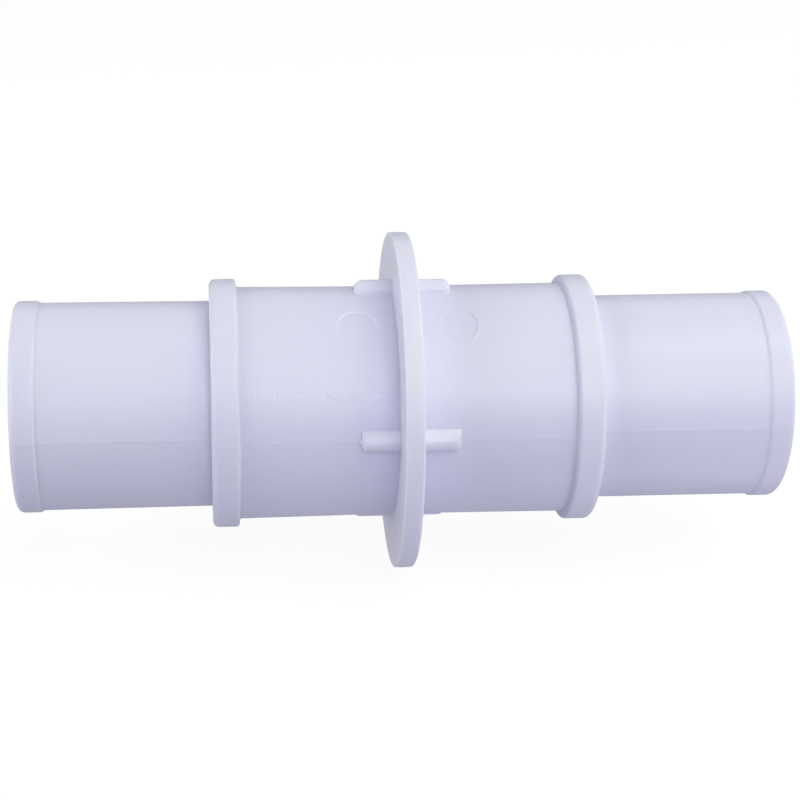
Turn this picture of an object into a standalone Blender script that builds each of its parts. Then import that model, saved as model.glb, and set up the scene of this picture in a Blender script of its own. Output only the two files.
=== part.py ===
"""Straight hose and pipe coupling, moulded in white plastic.

Both halves are alike. Going outwards from the mid-plane there is a round
flange with four ribs against each face, a large barrel, a stop ring, a
narrower spigot and an end bead. One straight bore runs through.

Frame: metres, +X along the bore, +Z up, origin at the centre of the flange.
The mould parts on the plane z = 0, and the ribs stand on +-Y and +-Z.
"""

import math

import bmesh
import bpy

MM = 0.001

# Driving dimensions, in millimetres.
HALF_LENGTH = 70.4        # mid-plane to an end face
BEAD_LENGTH = 4.2         # end bead, along the axis
BEAD_R = 19.42            # outside radius of the end bead
BEAD_CORNER = 1.2         # rounding of its outer edge
SPIGOT_R_MOUTH = 19.06    # spigot radius next to the bead
SPIGOT_R_ROOT = 18.96     # and next to the stop ring
RING_INNER_X = 30.1       # stop ring, face towards the flange
RING_OUTER_X = 35.05      # stop ring, face towards the spigot
RING_R = 22.94
RING_CORNER_IN = 0.5      # rounding of its edge towards the flange
RING_CORNER_OUT = 1.1     # and towards the spigot
BARREL_R_RING = 21.45     # barrel radius at the stop ring
BARREL_R_FLANGE = 21.22   # and at the flange
FLANGE_R = 31.25
FLANGE_HALF = 1.72        # half the flange's thickness
FLANGE_CORNER = 0.6
RIB_END_X = 9.0           # where a rib ends, from the mid-plane
RIB_WIDTH = 4.0
RIB_TOP_R = 23.35         # top of a rib, from the axis
RIB_END_ROUND = 0.6       # rounding of a rib's free end, in plan
RIB_END_SLOPE = 1.0       # rounding of the top of the free end
RIB_EDGE = 0.9            # rounding of a rib's top edges
FLANGE_HUB_R = 21.67      # inside this radius the flange backs the barrels' ends
FLANGE_HUB_RELIEF = 0.1   # and each of its faces is set back by this much
BORE_R_MID = 16.6         # the bore is drafted out of both ends
BORE_R_MOUTH = 17.0
BORE_LIP = 0.5            # rounding of the bore's mouth
GAP = 0.3                 # clear gap between neighbouring solids
STEPS = 48                # sides of a turned shape


def bore_r(x):
    """Bore radius at a distance x from the mid-plane."""
    return BORE_R_MID + (BORE_R_MOUTH - BORE_R_MID) * abs(x) / HALF_LENGTH


def barrel_r(x):
    t = (x - FLANGE_HALF) / (RING_INNER_X - FLANGE_HALF)
    return BARREL_R_FLANGE + (BARREL_R_RING - BARREL_R_FLANGE) * t


def spigot_r(x):
    t = (x - RING_OUTER_X) / (HALF_LENGTH - BEAD_LENGTH - RING_OUTER_X)
    return SPIGOT_R_ROOT + (SPIGOT_R_MOUTH - SPIGOT_R_ROOT) * t


def rounded(corners, segments=3):
    """Close a profile of (x, r, rounding) corners, with arcs where asked."""
    points = []
    count = len(corners)
    for i, (x, r, radius) in enumerate(corners):
        if radius <= 0:
            points.append((x, r))
            continue
        px, pr, _ = corners[i - 1]
        nx, nr, _ = corners[(i + 1) % count]
        ax, ar = px - x, pr - r
        bx, br = nx - x, nr - r
        la, lb = math.hypot(ax, ar), math.hypot(bx, br)
        ax, ar, bx, br = ax / la, ar / la, bx / lb, br / lb
        half = math.acos(max(-1.0, min(1.0, ax * bx + ar * br))) / 2
        back = radius / math.tan(half)
        mx, mr = ax + bx, ar + br
        ml = math.hypot(mx, mr)
        cx = x + mx / ml * radius / math.sin(half)
        cr = r + mr / ml * radius / math.sin(half)
        start = math.atan2(r + ar * back - cr, x + ax * back - cx)
        end = math.atan2(r + br * back - cr, x + bx * back - cx)
        turn = (end - start + math.pi) % (2 * math.pi) - math.pi
        for k in range(segments + 1):
            a = start + turn * k / segments
            points.append((cx + radius * math.cos(a), cr + radius * math.sin(a)))
    return points


def material(name, colour, roughness):
    mat = bpy.data.materials.new(name)
    mat.use_nodes = True
    shader = mat.node_tree.nodes["Principled BSDF"]
    shader.inputs["Base Color"].default_value = (*colour, 1.0)
    shader.inputs["Roughness"].default_value = roughness
    shader.inputs["Metallic"].default_value = 0.0
    return mat


def profile_mesh(name, points):
    """A closed profile in the local XZ plane: local Z is along the bore."""
    mesh = bpy.data.meshes.new(name)
    bm = bmesh.new()
    verts = [bm.verts.new((r * MM, 0.0, x * MM)) for x, r in points]
    for a, b in zip(verts, verts[1:] + verts[:1]):
        bm.edges.new((a, b))
    bm.to_mesh(mesh)
    bm.free()
    return mesh


def turned(name, mesh, side):
    """Turn a profile about the bore; side is +1 for the right, -1 for the left."""
    obj = bpy.data.objects.new(name, mesh)
    obj.rotation_euler = (0.0, side * math.pi / 2, 0.0)
    parts.objects.link(obj)
    obj.parent = root
    screw = obj.modifiers.new("turn", "SCREW")
    screw.axis = "Z"
    screw.angle = 2 * math.pi
    screw.steps = STEPS
    screw.render_steps = STEPS
    screw.screw_offset = 0.0
    screw.use_merge_vertices = True
    screw.merge_threshold = 0.00001
    screw.use_smooth_shade = False
    return obj


def rib_mesh():
    """One rib on the right-hand side, standing on +Z."""
    low_r = barrel_r(FLANGE_HALF) + GAP + 0.08
    x0, x1 = FLANGE_HALF + GAP, RIB_END_X
    mesh = bpy.data.meshes.new("rib")
    bm = bmesh.new()
    bmesh.ops.create_cube(bm, size=1.0)
    bmesh.ops.scale(
        bm, verts=bm.verts,
        vec=((x1 - x0) * MM, RIB_WIDTH * MM, (RIB_TOP_R - low_r) * MM),
    )
    bmesh.ops.translate(
        bm, verts=bm.verts,
        vec=((x0 + x1) / 2 * MM, 0.0, (RIB_TOP_R + low_r) / 2 * MM),
    )
    free = [
        e for e in bm.edges
        if all(v.co.x > (x1 - 0.01) * MM for v in e.verts)
        and abs(e.verts[0].co.z - e.verts[1].co.z) > 0.1 * MM
    ]
    bmesh.ops.bevel(
        bm, geom=free, offset=RIB_END_ROUND * MM, offset_type="OFFSET",
        segments=3, profile=0.5, affect="EDGES", clamp_overlap=True,
    )
    for v in bm.verts:
        # lean the free end back, so that it rises to the top on a slope
        if v.co.z > (RIB_TOP_R - 0.01) * MM and v.co.x > (x1 - RIB_END_ROUND - 0.01) * MM:
            v.co.x -= RIB_END_SLOPE * MM
    bm.normal_update()
    top = [
        e for e in bm.edges
        if all(v.co.z > (RIB_TOP_R - 0.01) * MM for v in e.verts)
        and any(f.normal.z < 0.9 for f in e.link_faces)
        and not all(v.co.x < (x0 + 0.01) * MM for v in e.verts)
    ]
    bmesh.ops.bevel(
        bm, geom=top, offset=RIB_EDGE * MM, offset_type="OFFSET",
        segments=2, profile=0.5, affect="EDGES", clamp_overlap=True,
    )
    bmesh.ops.recalc_face_normals(bm, faces=bm.faces)
    bm.to_mesh(mesh)
    bm.free()
    return mesh


for old in list(bpy.data.objects):
    bpy.data.objects.remove(old, do_unlink=True)

parts = bpy.data.collections.new("push_fit_coupling")
bpy.context.scene.collection.children.link(parts)

root = bpy.data.objects.new("coupling", None)
parts.objects.link(root)

plastic = material("white_plastic", (0.80, 0.80, 0.88), 0.38)

# The flange, on the mid-plane. Its hub is a little thinner than its land, so
# the land that a hose's end can meet is a flat ring of its own.
hub_x = FLANGE_HALF - FLANGE_HUB_RELIEF
flange = profile_mesh("centre_flange", rounded([
    (FLANGE_HALF, FLANGE_R, FLANGE_CORNER),
    (-FLANGE_HALF, FLANGE_R, FLANGE_CORNER),
    (-FLANGE_HALF, FLANGE_HUB_R, 0),
    (-hub_x, FLANGE_HUB_R, 0),
    (-hub_x, bore_r(0), 0),
    (hub_x, bore_r(0), 0),
    (hub_x, FLANGE_HUB_R, 0),
    (FLANGE_HALF, FLANGE_HUB_R, 0),
], segments=2))

# The half-profiles. Each starts at its outermost end and runs down its
# outer side, towards the mid-plane, and back along the bore.
bead_x = HALF_LENGTH - BEAD_LENGTH
bead = profile_mesh("end_bead", rounded([
    (HALF_LENGTH, bore_r(HALF_LENGTH), BORE_LIP),
    (HALF_LENGTH, BEAD_R, BEAD_CORNER),
    (bead_x + GAP, BEAD_R, 0.2),
    (bead_x + GAP, bore_r(bead_x + GAP), 0),
], segments=3))

spigot_low = RING_OUTER_X + GAP
spigot = profile_mesh("spigot", rounded([
    (bead_x, spigot_r(bead_x), 0),
    (spigot_low, spigot_r(spigot_low), 0),
    (spigot_low, bore_r(spigot_low), 0),
    (bead_x, bore_r(bead_x), 0),
]))

ring = profile_mesh("stop_ring", rounded([
    (RING_OUTER_X, RING_R, RING_CORNER_OUT),
    (RING_INNER_X, RING_R, RING_CORNER_IN),
    (RING_INNER_X, bore_r(RING_INNER_X), 0),
    (RING_OUTER_X, bore_r(RING_OUTER_X), 0),
], segments=2))

barrel_high = RING_INNER_X - GAP
barrel_low = FLANGE_HALF + GAP
barrel = profile_mesh("barrel", rounded([
    (barrel_high, barrel_r(barrel_high), 0),
    (barrel_low, barrel_r(barrel_low), 0),
    (barrel_low, bore_r(barrel_low), 0),
    (barrel_high, bore_r(barrel_high), 0),
]))

rib = rib_mesh()

turned("centre_flange", flange, 1)
for side_name, side in (("left", -1), ("right", 1)):
    turned(side_name + "_end_bead", bead, side)
    turned(side_name + "_spigot", spigot, side)
    turned(side_name + "_stop_ring", ring, side)
    turned(side_name + "_barrel", barrel, side)
    for place, angle in (("top", 0), ("front", 90), ("bottom", 180), ("back", 270)):
        obj = bpy.data.objects.new(side_name + "_rib_" + place, rib)
        # Stood up on +Z, turned about the bore to its place; the left-hand
        # ribs are first turned half round, about Z.
        obj.rotation_euler = (
            math.radians(angle) * side, 0.0, 0.0 if side > 0 else math.pi,
        )
        parts.objects.link(obj)
        obj.parent = root

for obj in parts.objects:
    if obj.type == "MESH":
        if not obj.data.materials:
            obj.data.materials.append(plastic)

bpy.context.view_layer.update()
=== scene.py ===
"""Finished look of the moulded hose coupling: fine surfaces, plastic, studio."""
import math

import bpy
from mathutils import Matrix, Vector, noise


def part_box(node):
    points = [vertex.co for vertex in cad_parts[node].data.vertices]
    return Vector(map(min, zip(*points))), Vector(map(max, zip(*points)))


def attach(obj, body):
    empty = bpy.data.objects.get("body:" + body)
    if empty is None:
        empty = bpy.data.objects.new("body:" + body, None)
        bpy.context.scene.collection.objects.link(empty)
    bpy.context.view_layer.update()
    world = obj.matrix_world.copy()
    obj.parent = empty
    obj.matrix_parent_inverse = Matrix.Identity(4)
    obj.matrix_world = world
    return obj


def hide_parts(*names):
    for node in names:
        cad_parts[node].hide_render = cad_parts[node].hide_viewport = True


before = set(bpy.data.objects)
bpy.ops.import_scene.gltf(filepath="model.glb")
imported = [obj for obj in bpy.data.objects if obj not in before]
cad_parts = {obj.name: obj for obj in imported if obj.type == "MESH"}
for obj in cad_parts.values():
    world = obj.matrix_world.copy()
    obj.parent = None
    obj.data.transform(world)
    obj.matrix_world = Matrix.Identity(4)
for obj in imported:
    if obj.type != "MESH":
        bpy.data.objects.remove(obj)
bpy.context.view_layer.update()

MM = 0.001
scene = bpy.context.scene

# --------------------------------------------------------------------------
# Sizes, in millimetres, as in the CAD. The boxes of the CAD nodes give the
# places along the bore; the radii of the drafted walls are stated here.
# --------------------------------------------------------------------------


def cad_x(node):
    low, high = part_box(node)
    return low[0] / MM, high[0] / MM


HALF_LENGTH = cad_x("right_end_bead")[1]
FLANGE_HALF = cad_x("centre_flange")[1]
FLANGE_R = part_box("centre_flange")[1][2] / MM
RING_IN, RING_OUT = cad_x("right_stop_ring")
RING_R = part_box("right_stop_ring")[1][2] / MM
BEAD_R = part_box("right_end_bead")[1][2] / MM
RIB_END = cad_x("right_rib_top")[1]
RIB_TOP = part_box("right_rib_top")[1][2] / MM
RIB_HALF_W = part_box("right_rib_top")[1][1] / MM

BEAD_LENGTH = 4.2
BARREL_R_FLANGE, BARREL_R_RING = 21.22, 21.45
SPIGOT_R_ROOT, SPIGOT_R_MOUTH = 18.96, 19.06
BORE_R_MID, BORE_R_MOUTH = 16.6, 17.0
BEAD_START = HALF_LENGTH - BEAD_LENGTH

# ejector pin marks on the barrels: distance from the mid-plane, from y = 0, radius
PINS = {-1: (8.85, 11.35, 3.54), 1: (9.41, 11.10, 3.56)}


def bore_r(x):
    return BORE_R_MID + (BORE_R_MOUTH - BORE_R_MID) * abs(x) / HALF_LENGTH


def barrel_r(x):
    t = (abs(x) - FLANGE_HALF) / (RING_IN - FLANGE_HALF)
    return BARREL_R_FLANGE + (BARREL_R_RING - BARREL_R_FLANGE) * t


def spigot_r(x):
    t = (abs(x) - RING_OUT) / (BEAD_START - RING_OUT)
    return SPIGOT_R_ROOT + (SPIGOT_R_MOUTH - SPIGOT_R_ROOT) * t


def smooth(t):
    t = max(0.0, min(1.0, t))
    return t * t * (3 - 2 * t)


# --------------------------------------------------------------------------
# The skin: what a mould leaves on a turned shape. All of it is height, in mm.
# The mould parts on z = 0, so its line runs along the sides, at y = +-r.
# --------------------------------------------------------------------------


def flash(x, y, z, strength=1.0):
    """The thin raised line that the mould's parting leaves."""
    wander = noise.noise(Vector((x * 0.35, 7.1 if y < 0 else 21.7, 3.0)))
    width = 0.10 + 0.02 * wander
    height = (0.034 + 0.022 * wander) * strength
    return height * math.exp(-((z / width) ** 2))


def half_turn(y, z, r):
    """The lower mould half sits a hair inside the upper one along the sides."""
    if z >= 0:
        return 0.0
    down = math.asin(max(-1.0, min(1.0, -z / r)))          # 0 at the line
    return -0.045 * math.sin(min(down * 3.2, math.pi)) if down * 3.2 < math.pi else 0.0


def waviness(x, y, z):
    """Shrinkage leaves a moulded wall very slightly uneven."""
    return 0.012 * noise.noise(Vector((x * 0.055, y * 0.07, z * 0.07)))


def pin_mark(x, y, z):
    """A round witness of an ejector pin.

    The left-hand pin stood a little low along its upper side, so its disc is
    sunk there and runs out below. The right-hand one is sunk a hair, and has
    a fine ridge that is highest at its outer side and again above.
    """
    if z <= 0:
        return 0.0
    px, py, radius = PINS[1 if x > 0 else -1]
    d = math.hypot(abs(x) - px, abs(y) - py)
    if d > radius + 0.8:
        return 0.0
    out, down = (abs(x) - px) / radius, (abs(y) - py) / radius
    inside = smooth((radius + 0.10 - d) / (0.36 if x < 0 else 0.24))
    ridge = math.exp(-(((d - radius) / 0.15) ** 2))
    if x < 0:
        return -0.12 * max(0.0, min(1.0, 0.40 - 0.75 * down)) * inside
    height = 0.11 * max(0.2, smooth((out - 0.2) / 0.7),
                        0.7 * smooth((-(out + down) * 0.7 - 0.55) / 0.35))
    return -0.030 * inside + height * ridge


def ring_nick(x, z):
    """Shreds of flash where the parting line crosses the edges of a stop ring."""
    if x < 0:
        spots = ((-RING_OUT, 0.15, 0.10, 0.30), (-RING_IN, -0.75, 0.08, 0.28))
    else:
        spots = ((RING_OUT, -0.45, 0.11, 0.55),)
    return sum(
        height * math.exp(-(((z - at) / size) ** 2) - ((x - place) / 0.45) ** 2)
        for place, at, height, size in spots)


# --------------------------------------------------------------------------
# Mesh tools
# --------------------------------------------------------------------------


def angles(count, radius, extra=()):
    """Angles round the bore from +Z towards -Y, closer together at the parting lines."""
    found = {round(2 * math.pi * i / count, 6) for i in range(count)}
    for centre in (math.pi / 2, 3 * math.pi / 2):
        for off in (0.0, 0.05, 0.10, 0.15, 0.21, 0.29, 0.42):
            for s in (-1, 1):
                found.add(round(centre + s * off / radius, 6))
    for low, high, step in extra:
        n = max(1, int(round((high - low) / step)))
        for i in range(n + 1):
            found.add(round((low + (high - low) * i / n) % (2 * math.pi), 6))
    ordered = sorted(found)
    kept = [ordered[0]]
    for a in ordered[1:]:
        if a - kept[-1] > 0.0008:
            kept.append(a)
    if 2 * math.pi - kept[-1] < 0.0008:
        kept.pop()
    return kept


def arc(cx, cr, radius, start, end, n):
    """Points of an arc in the (x, r) plane, angles in degrees."""
    pts = []
    for i in range(n + 1):
        a = math.radians(start + (end - start) * i / n)
        pts.append((cx + radius * math.cos(a), cr + radius * math.sin(a)))
    return pts


def line(a, b, n):
    return [(a[0] + (b[0] - a[0]) * i / n, a[1] + (b[1] - a[1]) * i / n) for i in range(n + 1)]


def clean(points, gap=1e-5):
    out = []
    for p in points:
        if not out or math.hypot(p[0] - out[-1][0], p[1] - out[-1][1]) > gap:
            out.append(p)
    if math.hypot(out[0][0] - out[-1][0], out[0][1] - out[-1][1]) <= gap:
        out.pop()
    return out


def revolve(name, profile, side, thetas, skin, slide=None, sharp_deg=35):
    """Turn a closed (x, r) profile round the bore into one closed mesh.

    side is +1 for the right-hand half and -1 for the left. skin(x, y, z, r)
    gives the height that the mould left at a point of the outside, and
    slide(x, z, r) moves a point along the bore.
    """
    profile = clean(profile)
    n, m = len(profile), len(thetas)
    verts = []
    for px, pr in profile:
        x = px * side
        for t in thetas:
            sy, cz = -math.sin(t), math.cos(t)
            r = pr + skin(x, pr * sy, pr * cz, pr)
            along = x + (slide(x, pr * cz, pr) if slide else 0.0)
            verts.append((along * MM, r * sy * MM, r * cz * MM))
    faces = []
    for i in range(n):
        j = (i + 1) % n
        for k in range(m):
            l = (k + 1) % m
            quad = (i * m + k, j * m + k, j * m + l, i * m + l)
            faces.append(quad if side > 0 else quad[::-1])
    mesh = bpy.data.meshes.new(name)
    mesh.from_pydata(verts, [], faces)
    mesh.validate()
    obj = bpy.data.objects.new(name, mesh)
    scene.collection.objects.link(obj)
    finish_mesh(obj, sharp_deg)
    return obj


def finish_mesh(obj, sharp_deg=35):
    mesh = obj.data
    import bmesh
    bm = bmesh.new()
    bm.from_mesh(mesh)
    bmesh.ops.recalc_face_normals(bm, faces=bm.faces)
    bm.to_mesh(mesh)
    bm.free()
    mesh.shade_smooth()
    mesh.set_sharp_from_angle(angle=math.radians(sharp_deg))


def is_outside(r):
    return r > 17.9


# --------------------------------------------------------------------------
# Profiles of the right-hand half, (x, r)
# --------------------------------------------------------------------------

TOE_IN, TOE_OUT = 0.40, 0.12    # fillets at the foot of a stop ring
FOOT = 0.12                     # and at the foot of the flange
SEAM_SPIGOT = RING_OUT + TOE_OUT
SEAM_BARREL = RING_IN - TOE_IN
SEAM_FLANGE = FLANGE_HALF + FOOT
SEAM_BEAD = BEAD_START - 0.48


def bead_profile():
    r0 = spigot_r(SEAM_BEAD)
    ramp = []
    length = 0.62
    for i in range(13):
        t = i / 12
        ramp.append((SEAM_BEAD + length * t, r0 + (BEAD_R - r0) * smooth(t)))
    corner = 1.2
    top = line(ramp[-1], (HALF_LENGTH - corner, BEAD_R), 4)
    outer = arc(HALF_LENGTH - corner, BEAD_R - corner, corner, 90, 0, 12)
    lip = 0.5
    mouth = bore_r(HALF_LENGTH)
    inner = arc(HALF_LENGTH - lip, mouth + lip, lip, 0, -90, 6)
    bore = line((HALF_LENGTH - lip, mouth), (SEAM_BEAD, bore_r(SEAM_BEAD)), 4)
    return ramp + top + outer + inner + bore


def spigot_profile():
    outer = line((SEAM_SPIGOT, spigot_r(SEAM_SPIGOT)), (SEAM_BEAD, spigot_r(SEAM_BEAD)), 44)
    bore = line((SEAM_BEAD, bore_r(SEAM_BEAD)), (SEAM_SPIGOT, bore_r(SEAM_SPIGOT)), 12)
    return outer + bore


def ring_profile():
    near, far = 0.55, 1.15      # roundings towards the flange and towards the spigot
    inner_foot = barrel_r(SEAM_BARREL)
    outer_foot = spigot_r(SEAM_SPIGOT)
    p = arc(SEAM_BARREL, inner_foot + TOE_IN, TOE_IN, -90, 0, 6)
    p += arc(RING_IN + 0.06 + near, RING_R - near, near, 180, 90, 8)
    p += line(p[-1], (RING_OUT - far, RING_R), 6)
    p += arc(RING_OUT - far, RING_R - far, far, 90, 0, 12)
    p += line(p[-1], (RING_OUT, outer_foot + TOE_OUT), 6)[1:]
    p += arc(SEAM_SPIGOT, outer_foot + TOE_OUT, TOE_OUT, 180, 270, 4)
    p += line((SEAM_SPIGOT, bore_r(SEAM_SPIGOT)), (SEAM_BARREL, bore_r(SEAM_BARREL)), 4)
    return p


def barrel_profile():
    low, high = SEAM_FLANGE, SEAM_BARREL
    marks_low = min(px - radius for px, _, radius in PINS.values()) - 0.5
    marks_high = max(px + radius for px, _, radius in PINS.values()) + 0.5
    xs = [low]
    x = low
    while x < marks_low - 0.5:
        x += 0.45
        xs.append(min(x, marks_low))
    n = int((marks_high - marks_low) / 0.08)
    xs += [marks_low + (marks_high - marks_low) * i / n for i in range(n + 1)]
    n = int((high - marks_high) / 0.6)
    xs += [marks_high + (high - marks_high) * i / n for i in range(n + 1)]
    outer = [(v, barrel_r(v)) for v in xs]
    bore = line((high, bore_r(high)), (low, bore_r(low)), 10)
    return outer + bore


def flange_profile():
    """Both faces at once, from the left-hand foot over the rim to the right-hand one."""
    foot = FOOT
    root = barrel_r(SEAM_FLANGE)
    face = FLANGE_HALF

    def half(edge):
        pts = arc(face + foot, root + foot, foot, 270, 180, 4)
        pts += line((face, root + foot), (face, FLANGE_R - 0.05 - edge), 16)[1:]
        pts += arc(face - edge, FLANGE_R - 0.05 - edge, edge, 0, 90, 9)[1:]
        # the land is crowned: it falls off a little towards its edges
        pts += [(x, FLANGE_R - 0.05 * smooth((x - 0.1) / (face - edge - 0.1)))
                for x in (1.0, 0.8, 0.6, 0.4, 0.2, 0.0)]
        return pts

    right = half(0.50)
    left = [(-x, r) for x, r in reversed(half(0.28)[:-1])]
    bore = line((-(face + foot), bore_r(face + foot)), (0, BORE_R_MID), 3)
    bore += line((0, BORE_R_MID), (face + foot, bore_r(face + foot)), 3)[1:]
    return right + left + bore


# --------------------------------------------------------------------------
# Skins
# --------------------------------------------------------------------------


def tube_skin(x, y, z, r):
    if not is_outside(r):
        return 0.0
    return flash(x, y, z) + half_turn(y, z, r) + waviness(x, y, z)


def barrel_skin(x, y, z, r):
    if not is_outside(r):
        return 0.0
    return flash(x, y, z, 0.8) + 0.6 * half_turn(y, z, r) + waviness(x, y, z) + pin_mark(x, y, z)


def ring_skin(x, y, z, r):
    if not is_outside(r):
        return 0.0
    nick = ring_nick(x, z) if y < 0 else 0.0
    return flash(x, y, z, 1.0) + waviness(x, y, z) + nick


def flange_skin(x, y, z, r):
    if not is_outside(r) or r < 25:
        return 0.0
    return flash(x, y, z, 0.7)


def flange_slide(x, z, r):
    """The faces are very slightly dished where the plastic shrank."""
    if not is_outside(r) or abs(x) < FLANGE_HALF - 0.01:
        return 0.0
    across = (r - BARREL_R_FLANGE) / (FLANGE_R - BARREL_R_FLANGE)
    return -math.copysign(0.05 * smooth(across * 3) * smooth((1 - across) * 3), x)


def bead_skin(x, y, z, r):
    if not is_outside(r) or abs(x) > HALF_LENGTH - 0.3:
        return 0.0
    return flash(x, y, z) + half_turn(y, z, r) + waviness(x, y, z)


# --------------------------------------------------------------------------
# The turned pieces
# --------------------------------------------------------------------------

pin_low = math.asin(min(py - radius for _, py, radius in PINS.values()) / 21.4 - 0.02)
pin_high = math.asin(max(py + radius for _, py, radius in PINS.values()) / 21.4 + 0.02)
pin_extra = [
    (pin_low, pin_high, 0.0042),
    (2 * math.pi - pin_high, 2 * math.pi - pin_low, 0.0042),
]

made = {}

made["centre_flange"] = revolve(
    "coupling_flange", flange_profile(), 1, angles(240, 31), flange_skin, flange_slide)
for side_name, side in (("left", -1), ("right", 1)):
    made[side_name + "_end_bead"] = revolve(
        side_name + "_bead", bead_profile(), side, angles(200, 19.2), bead_skin)
    made[side_name + "_spigot"] = revolve(
        side_name + "_spigot_tube", spigot_profile(), side, angles(200, 19.2), tube_skin)
    made[side_name + "_stop_ring"] = revolve(
        side_name + "_ring", ring_profile(), side, angles(220, 22), ring_skin)
    made[side_name + "_barrel"] = revolve(
        side_name + "_barrel_tube", barrel_profile(), side,
        angles(200, 21.3, pin_extra), barrel_skin)


# --------------------------------------------------------------------------
# Ribs: each is a stack of rounded outlines, from a flared foot on the
# barrel to a crowned top, with a well rounded free end.
# --------------------------------------------------------------------------


# The front and back ribs are cut by the parting plane: the half of each that the
# upper mould forms has a crisp corner, the lower half a well rounded one. The
# left-hand ribs came out a little shorter than the right-hand ones.
CRISP, SOFT = 0.20, 1.25
LEFT_RIB_SHORT = 0.40


def rib_outline(half_w, end_x, low_corner, high_corner, n_corner=7, n_side=14, n_end=26):
    """From the flange along one side, round the free end and back, as (x, y)."""
    start = FLANGE_HALF - 0.35
    pts = []
    for i in range(n_side):
        pts.append((start + (end_x - low_corner - start) * i / n_side, -half_w))
    for i in range(n_corner):
        a = math.radians(-90 + 90 * i / n_corner)
        pts.append((end_x - low_corner + low_corner * math.cos(a),
                    -half_w + low_corner + low_corner * math.sin(a)))
    bottom, top = -half_w + low_corner, half_w - high_corner
    for i in range(n_end):
        pts.append((end_x, bottom + (top - bottom) * i / n_end))
    for i in range(n_corner):
        a = math.radians(90 * i / n_corner)
        pts.append((end_x - high_corner + high_corner * math.cos(a),
                    half_w - high_corner + high_corner * math.sin(a)))
    for i in range(n_side + 1):
        pts.append((end_x - high_corner - (end_x - high_corner - start) * i / n_side, half_w))
    return pts


def make_rib(name, side, turn, low_corner=0.5, high_corner=0.5, nub=0.0,
             end_round=1.5, foot=0.10):
    """turn is the angle round the bore from +Z towards -Y, in degrees.

    The two corners of the free end are rounded by low_corner and high_corner,
    in plan, and end_round rounds its top. nub is how far a shred of flash stands
    out of the free end, and foot is the fillet round the rib's foot, in mm.
    """
    side_round = 1.90
    rib_end = RIB_END if side > 0 else RIB_END - LEFT_RIB_SHORT
    height = RIB_TOP - BARREL_R_FLANGE
    wall = max(0.40, foot + 0.05)        # straight part, under the roundings
    levels = []          # (inset at the sides, inset at the end, height, growth of the corners)
    for i in range(4):                                   # the foot's small flare
        a = math.radians(90 * i / 3)
        out = foot * (1 - math.sin(a))
        levels.append((-out, -out, foot * (1 - math.cos(a)) - 0.02, out))
    for i in range(1, 4):
        levels.append((0.0, 0.0, foot + (wall - foot) * i / 3, 0.0))
    for i in range(1, 23):
        # the sides swell up to a soft ridge, a little flatter than a half-round
        a = math.radians(90 * i / 22)
        rise = math.sin(a) ** 1.18
        levels.append((side_round * (1 - math.cos(a) ** 1.18),
                       end_round * (1 - math.sqrt(max(0.0, 1 - rise * rise))),
                       wall + (height - wall) * rise, 0.0))
    verts, faces, ring = [], [], None
    for level, (side_in, end_in, h, grown) in enumerate(levels):
        half_w = RIB_HALF_W - side_in
        outline = rib_outline(
            half_w, rib_end - end_in,
            min(low_corner + grown, half_w * 0.9), min(high_corner + grown, half_w * 0.9))
        share = max(0.0, h) / height
        for x, y in outline:
            if nub and x > rib_end - end_in - 0.01:
                x += nub * math.exp(-((y / 0.16) ** 2)) * (1 - smooth((h - 0.35) / 0.5))
            low = math.sqrt(max(0.0, barrel_r(max(x, FLANGE_HALF)) ** 2 - y * y))
            crown = RIB_TOP - 0.04 * (y / RIB_HALF_W) ** 2
            z = (low + h) * (1 - share) + (crown - (height - h)) * share
            if level == 0:
                z = low - 0.35
            verts.append((x, y, z))
        ring = len(outline)
    count = len(levels)
    for i in range(count - 1):
        for k in range(ring - 1):
            faces.append((i * ring + k, i * ring + k + 1, (i + 1) * ring + k + 1, (i + 1) * ring + k))
        faces.append((i * ring + ring - 1, i * ring, (i + 1) * ring, (i + 1) * ring + ring - 1))
    # the top and the buried underside, each spanned by strips across the rib
    def span(offset, flip):
        i, j = 0, ring - 1
        while j - i > 1:
            if j - i == 2:
                f = (offset + i, offset + i + 1, offset + j)
            else:
                f = (offset + i, offset + i + 1, offset + j - 1, offset + j)
            faces.append(f if flip else f[::-1])
            i, j = i + 1, j - 1
    span((count - 1) * ring, True)
    span(0, False)
    a = math.radians(turn)
    out = []
    for x, y, z in verts:
        # stand the rib on +Z, then turn it about the bore
        py, pz = y * math.cos(a) - z * math.sin(a), y * math.sin(a) + z * math.cos(a)
        out.append((x * side * MM, py * MM, pz * MM))
    if side < 0:
        faces = [f[::-1] for f in faces]
    mesh = bpy.data.meshes.new(name)
    mesh.from_pydata(out, [], faces)
    mesh.validate()
    obj = bpy.data.objects.new(name, mesh)
    scene.collection.objects.link(obj)
    finish_mesh(obj, 50)
    return obj


for side_name, side in (("left", -1), ("right", 1)):
    for place, turn, low_corner, high_corner in (
            ("top", 0, SOFT, SOFT), ("front", 90, SOFT, CRISP),
            ("bottom", 180, SOFT, SOFT), ("back", 270, CRISP, SOFT)):
        made[side_name + "_rib_" + place] = make_rib(
            side_name + "_flange_rib_" + place, side, turn, low_corner, high_corner,
            nub=0.5 if (side, place) == (-1, "front") else 0.0,
            end_round=1.5 if place in ("top", "bottom") else (1.2 if side > 0 else 0.9),
            foot=0.34 if place in ("top", "bottom") else 0.10)


# --------------------------------------------------------------------------
# Plastic
# --------------------------------------------------------------------------


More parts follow.
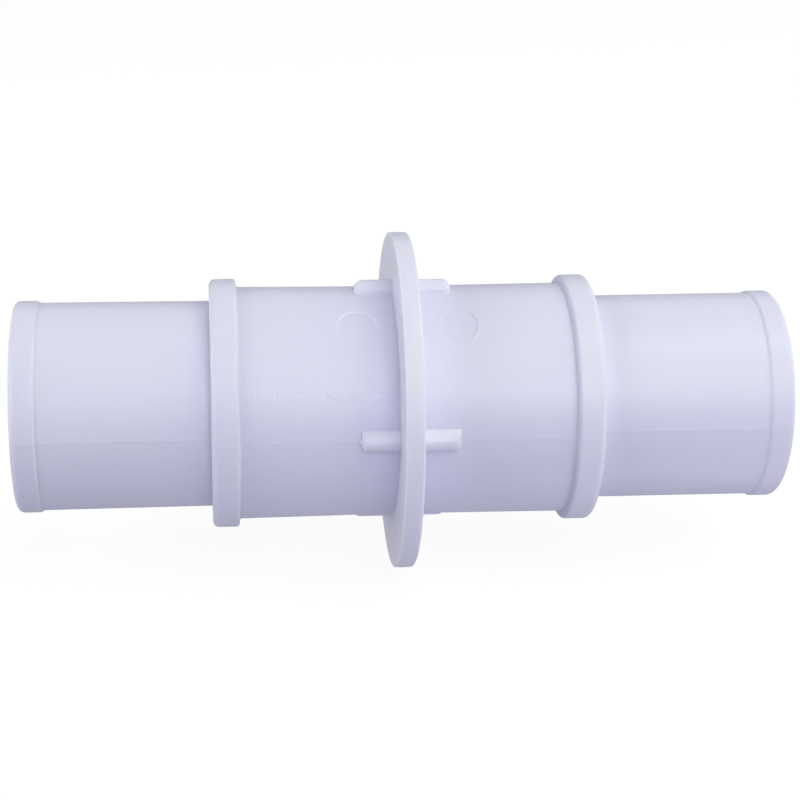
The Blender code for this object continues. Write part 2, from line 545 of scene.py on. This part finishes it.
def plastic(name, grain, roughness, weight=0.22, depth=0.0006, lower=1.0,
            tint=(1.0, 1.0, 1.0), grain_and_painted_highlights=False):
    """weight and depth say how far light spreads inside the wall, in metres.

    lower is how much of the colour is left below the parting line: painted
    shade. tint scales the colour. The last switch adds a coarser bump grain
    along the front of a barrel, with painted highlight specks in that band,
    and a painted highlight on the upper edge of the left-hand pin mark.
    """
    mat = bpy.data.materials.new(name)
    mat.use_nodes = True
    tree = mat.node_tree
    nodes, links = tree.nodes, tree.links
    shader = nodes["Principled BSDF"]
    shader.inputs["IOR"].default_value = 1.49
    shader.inputs["Metallic"].default_value = 0.0
    shader.inputs["Subsurface Weight"].default_value = weight
    shader.inputs["Subsurface Radius"].default_value = (1.0, 1.0, 1.25)
    shader.inputs["Subsurface Scale"].default_value = depth
    coords = nodes.new("ShaderNodeTexCoord")

    # colour: a lavender white that drifts very slightly through the wall
    drift = nodes.new("ShaderNodeTexNoise")
    drift.inputs["Scale"].default_value = 38.0
    drift.inputs["Detail"].default_value = 3.0
    links.new(coords.outputs["Object"], drift.inputs["Vector"])
    ramp = nodes.new("ShaderNodeValToRGB")
    ramp.color_ramp.elements[0].position = 0.30
    ramp.color_ramp.elements[0].color = (0.690 * tint[0], 0.700 * tint[1], 0.872 * tint[2], 1.0)
    ramp.color_ramp.elements[1].position = 0.70
    ramp.color_ramp.elements[1].color = (0.712 * tint[0], 0.722 * tint[1], 0.880 * tint[2], 1.0)
    links.new(drift.outputs["Fac"], ramp.inputs["Fac"])
    # painted shade: below the parting line the colour is a little darker, up to the line
    split = nodes.new("ShaderNodeSeparateXYZ")
    links.new(coords.outputs["Object"], split.inputs["Vector"])
    half = nodes.new("ShaderNodeMapRange")
    half.inputs["From Min"].default_value = -0.00020
    half.inputs["From Max"].default_value = 0.00005
    half.inputs["To Min"].default_value = lower
    half.inputs["To Max"].default_value = 1.0
    links.new(split.outputs["Z"], half.inputs["Value"])
    fine = nodes.new("ShaderNodeTexNoise")
    fine.inputs["Scale"].default_value = 2600.0
    fine.inputs["Detail"].default_value = 2.0
    links.new(coords.outputs["Object"], fine.inputs["Vector"])

    def span_of(source, low, high, out_low, out_high):
        node = nodes.new("ShaderNodeMapRange")
        node.interpolation_type = "SMOOTHSTEP"
        for key, value in (("From Min", low), ("From Max", high),
                           ("To Min", out_low), ("To Max", out_high)):
            node.inputs[key].default_value = value
        links.new(source, node.inputs["Value"])
        return node.outputs["Result"]

    def maths(operation, a, b):
        node = nodes.new("ShaderNodeMath")
        node.operation = operation
        for socket, value in zip(node.inputs, (a, b)):
            if isinstance(value, float):
                socket.default_value = value
            else:
                links.new(value, socket)
        return node.outputs["Value"]

    brightness = half.outputs["Result"]
    relief = fine.outputs["Fac"]
    if grain_and_painted_highlights:
        x, y, z = (split.outputs[axis] for axis in "XYZ")
        # a band on the upper front, z = 7 to 10 mm, gets a coarser bump grain and painted highlight
        # specks in its colour, more so on the left
        band = maths("MULTIPLY", span_of(z, 0.0064, 0.0078, 0.0, 1.0),
                     span_of(z, 0.0080, 0.0102, 1.0, 0.0))
        band = maths("MULTIPLY", band, span_of(y, -0.0150, -0.0100, 1.0, 0.0))
        band = maths("MULTIPLY", band, span_of(x, -0.0050, 0.0050, 1.0, 0.25))
        relief = maths("MULTIPLY", relief, maths("ADD", maths("MULTIPLY", band, 2.2), 0.45))
        painted_sparkle = maths("MULTIPLY", band, span_of(fine.outputs["Fac"], 0.45, 0.70, 0.010, 0.085))
        # painted highlight: the upper edge of the left-hand pin mark is lightened in the colour, for
        # the glint on its rim
        px, py, radius = PINS[-1]
        from_pin = nodes.new("ShaderNodeVectorMath")
        from_pin.operation = "DISTANCE"
        flat = nodes.new("ShaderNodeCombineXYZ")
        links.new(x, flat.inputs["X"])
        links.new(y, flat.inputs["Y"])
        links.new(flat.outputs["Vector"], from_pin.inputs[0])
        from_pin.inputs[1].default_value = (-px * MM, -py * MM, 0.0)
        off = maths("ABSOLUTE", maths("SUBTRACT", from_pin.outputs["Value"], radius * MM), 0.0)
        painted_pin_highlight = maths("MULTIPLY", span_of(off, 0.0, 0.00027, 0.105, 0.0),
                         span_of(y, -0.0142, -0.0085, 0.0, 1.0))
        painted_pin_highlight = maths("MULTIPLY", painted_pin_highlight, span_of(z, 0.0, 0.001, 0.0, 1.0))
        brightness = maths("MULTIPLY", brightness,
                           maths("ADD", maths("ADD", painted_sparkle, painted_pin_highlight), 1.0))
    tone = nodes.new("ShaderNodeVectorMath")
    tone.operation = "SCALE"
    links.new(ramp.outputs["Color"], tone.inputs[0])
    links.new(brightness, tone.inputs["Scale"])
    links.new(tone.outputs["Vector"], shader.inputs["Base Color"])

    # gloss: satin, with soft patches where the mould was more or less polished
    patch = nodes.new("ShaderNodeTexNoise")
    patch.inputs["Scale"].default_value = 160.0
    patch.inputs["Detail"].default_value = 4.0
    links.new(coords.outputs["Object"], patch.inputs["Vector"])
    span = nodes.new("ShaderNodeMapRange")
    span.inputs["From Min"].default_value = 0.3
    span.inputs["From Max"].default_value = 0.7
    span.inputs["To Min"].default_value = roughness
    span.inputs["To Max"].default_value = roughness + 0.05
    links.new(patch.outputs["Fac"], span.inputs["Value"])
    links.new(span.outputs["Result"], shader.inputs["Roughness"])

    # surface: fine spark-eroded grain over a slower orange peel
    slow = nodes.new("ShaderNodeTexNoise")
    slow.inputs["Scale"].default_value = 420.0
    slow.inputs["Detail"].default_value = 3.0
    links.new(coords.outputs["Object"], slow.inputs["Vector"])
    bump_slow = nodes.new("ShaderNodeBump")
    bump_slow.inputs["Strength"].default_value = 0.35
    bump_slow.inputs["Distance"].default_value = 0.00002
    links.new(slow.outputs["Fac"], bump_slow.inputs["Height"])
    bump = nodes.new("ShaderNodeBump")
    bump.inputs["Strength"].default_value = grain
    bump.inputs["Distance"].default_value = 0.00004
    links.new(relief, bump.inputs["Height"])
    links.new(bump_slow.outputs["Normal"], bump.inputs["Normal"])
    links.new(bump.outputs["Normal"], shader.inputs["Normal"])
    return mat


# The tubes are nearly opaque; the flange, the rings and the ribs let more light through. The flange
# and the rings spread light further inside the wall, and the lighter tints of the flange, the rings
# and most of all the ribs are painted light, for the light these parts pass and catch.
smooth_skin = plastic("spigot_plastic", 0.25, 0.285, lower=0.975, tint=(1.0, 1.0, 1.013))
grained_skin = plastic("barrel_plastic", 1.0, 0.280, lower=0.985, tint=(1.005, 1.0, 1.016),
                       grain_and_painted_highlights=True)
ring_skin_plastic = plastic("ring_plastic", 0.25, 0.285, 0.35, 0.0012, tint=(1.012, 1.008, 1.004))
flange_plastic = plastic("flange_plastic", 0.25, 0.285, 0.35, 0.0012, tint=(1.03, 1.03, 1.002))
rib_plastic = plastic("rib_plastic", 0.20, 0.285, 0.22, 0.0006, tint=(1.05, 1.045, 1.025))


def skin_of(node):
    for word, material in (("barrel", grained_skin), ("rib", rib_plastic),
                           ("ring", ring_skin_plastic), ("flange", flange_plastic)):
        if word in node:
            return material
    return smooth_skin


for node, piece in made.items():
    piece.data.materials.append(skin_of(node))
    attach(piece, "root")
    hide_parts(node)


# --------------------------------------------------------------------------
# Floor, light and camera
# --------------------------------------------------------------------------



def sweep(name, flat, fillet, top, sides=96):
    """A level floor that rises all round into a seamless pale wall and ceiling."""
    profile = [(flat * t, 0.0) for t in (0.02, 0.08, 0.2, 0.45, 0.75, 1.0)]
    profile += [(flat + fillet * math.sin(math.radians(a)), fillet * (1 - math.cos(math.radians(a))))
                for a in range(6, 91, 6)]
    wall = flat + fillet
    profile += [(wall * math.cos(math.radians(a)), fillet + (top - fillet) * math.sin(math.radians(a)))
                for a in range(8, 89, 8)]
    verts = [(0.0, 0.0, 0.0)]
    for r, z in profile:
        verts += [(r * math.cos(2 * math.pi * k / sides), r * math.sin(2 * math.pi * k / sides), z)
                  for k in range(sides)]
    verts.append((0.0, 0.0, top))
    faces = [(0, 1 + k, 1 + (k + 1) % sides) for k in range(sides)]
    for i in range(len(profile) - 1):
        a, b = 1 + i * sides, 1 + (i + 1) * sides
        faces += [(a + k, b + k, b + (k + 1) % sides, a + (k + 1) % sides) for k in range(sides)]
    a = 1 + (len(profile) - 1) * sides
    faces += [(a + k, len(verts) - 1, a + (k + 1) % sides) for k in range(sides)]
    mesh = bpy.data.meshes.new(name)
    mesh.from_pydata(verts, [], faces)
    mesh.validate()
    mesh.shade_smooth()
    obj = bpy.data.objects.new(name, mesh)
    scene.collection.objects.link(obj)
    return obj


floor = sweep("floor", 1.6, 1.0, 3.0)
floor.location = (0, 0, -FLANGE_R * MM - 0.0001)
# the pale floor is seen, but its bounce is left to the even studio fill
floor.visible_diffuse = False
floor.visible_glossy = False
floor.visible_transmission = False
floor.visible_shadow = False
paper = bpy.data.materials.new("floor_paper")
paper.use_nodes = True
p = paper.node_tree.nodes["Principled BSDF"]
p.inputs["Base Color"].default_value = (0.16, 0.16, 0.16, 1.0)
p.inputs["Roughness"].default_value = 0.95
p.inputs["Specular IOR Level"].default_value = 0.0
p.inputs["Emission Color"].default_value = (1.0, 1.0, 1.0, 1.0)
p.inputs["Emission Strength"].default_value = 0.885
floor.data.materials.append(paper)


def panel(name, centre, target, width, height, power, colour=(1, 1, 1)):
    data = bpy.data.lights.new(name, "AREA")
    data.shape = "RECTANGLE"
    data.size, data.size_y = width, height
    data.energy = power
    data.color = colour
    obj = bpy.data.objects.new(name, data)
    obj.location = centre
    obj.rotation_mode = "QUATERNION"
    obj.rotation_quaternion = (Vector(target) - Vector(centre)).to_track_quat("-Z", "Y")
    obj.visible_camera = False
    scene.collection.objects.link(obj)
    return obj


def softbox(name, azimuth, elevation, size, power, colour, distance=1.0):
    """A square panel aimed at the flange; azimuth 0 is over the camera's side, 90 is +X."""
    a, e = math.radians(azimuth), math.radians(elevation)
    towards = Vector((math.sin(a) * math.cos(e), -math.cos(a) * math.cos(e), math.sin(e)))
    return panel(name, towards * distance, (0, 0, 0), size, size, power, colour)


softbox("top", 0, 88, 0.76, 1.29, (1.00, 0.92, 0.96))
softbox("right", 90, 46, 0.76, 3.21, (0.92, 1.00, 0.87))
softbox("back_right", 135, 46, 0.76, 0.57, (0.88, 0.81, 1.00))
softbox("back", 180, 46, 0.76, 1.03, (0.88, 0.78, 1.00))
softbox("front_low", 0, 4, 0.76, 0.96, (0.69, 0.52, 1.00))
softbox("right_low", 90, 4, 0.76, 2.09, (1.00, 0.82, 0.69))
softbox("back_right_low", 135, 4, 0.76, 1.80, (0.75, 0.70, 1.00))
softbox("back_left_low", 225, 4, 0.76, 1.57, (1.00, 0.95, 0.90))
softbox("left_low", 270, 4, 0.76, 3.28, (1.00, 0.95, 0.81))
softbox("key_high", 60, 62, 0.42, 0.91, (0.90, 1.00, 0.70))
softbox("key_right", 45, 35, 0.42, 1.17, (1.00, 0.95, 0.78))
softbox("left", 270, 35, 0.42, 1.36, (0.85, 1.00, 0.85))
softbox("front_left", 300, 18, 0.42, 1.80, (1.00, 0.95, 1.00))
softbox("front", 11, 35, 0.42, 1.26, (0.94, 1.00, 0.91))
softbox("front_high", 11, 56, 0.42, 0.84, (1.00, 1.00, 0.92))
softbox("front_level", 11, 18, 0.42, 1.07, (0.94, 1.00, 0.81))
# two small cards close by, low on the right, for the brighter table on that side
panel("card_under", (0.14, -0.06, -0.16), (0.06, 0, 0), 0.16, 0.16, 0.049, (0.97, 1.0, 0.99))
panel("card_front", (0.16, -0.16, -0.08), (0.06, 0, 0), 0.14, 0.14, 0.030, (0.70, 0.69, 1.0))

# the studio's even fill, which comes off the pale table and fades upwards
FILL_BELOW, FILL_ABOVE = (0.479, 0.480, 0.526), (0.0, 0.0, 0.0)
world = bpy.data.worlds.new("studio")
world.use_nodes = True
wt = world.node_tree
sky_dir = wt.nodes.new("ShaderNodeTexCoord")
split = wt.nodes.new("ShaderNodeSeparateXYZ")
wt.links.new(sky_dir.outputs["Generated"], split.inputs["Vector"])
height_ramp = wt.nodes.new("ShaderNodeMapRange")
height_ramp.data_type = "FLOAT_VECTOR"
height_ramp.inputs[7].default_value = (-1.0, -1.0, -1.0)
height_ramp.inputs[8].default_value = (1.0, 1.0, 1.0)
height_ramp.inputs[9].default_value = FILL_BELOW
height_ramp.inputs[10].default_value = FILL_ABOVE
wt.links.new(split.outputs["Z"], height_ramp.inputs[6])
wt.links.new(height_ramp.outputs["Vector"], wt.nodes["Background"].inputs["Color"])
scene.world = world

scene.view_settings.view_transform = "Standard"
scene.view_settings.look = "None"

camera_data = bpy.data.cameras.new("camera")
camera_data.lens = 90.0
camera_data.sensor_width = 36.0
camera_data.clip_start, camera_data.clip_end = 0.01, 20.0
camera = bpy.data.objects.new("camera", camera_data)
place = Vector((-0.03526, -0.34983, 0.12733))
look = Vector((0.09475, 0.93539, -0.34069)).normalized()
up = Vector((0.01914, 0.34046, 0.94006))
right = look.cross(up).normalized()
up = right.cross(look).normalized()
turn = Matrix((right, up, -look)).transposed().to_4x4()
camera.matrix_world = Matrix.Translation(place) @ turn
scene.collection.objects.link(camera)
scene.camera = camera

bpy.context.view_layer.update()
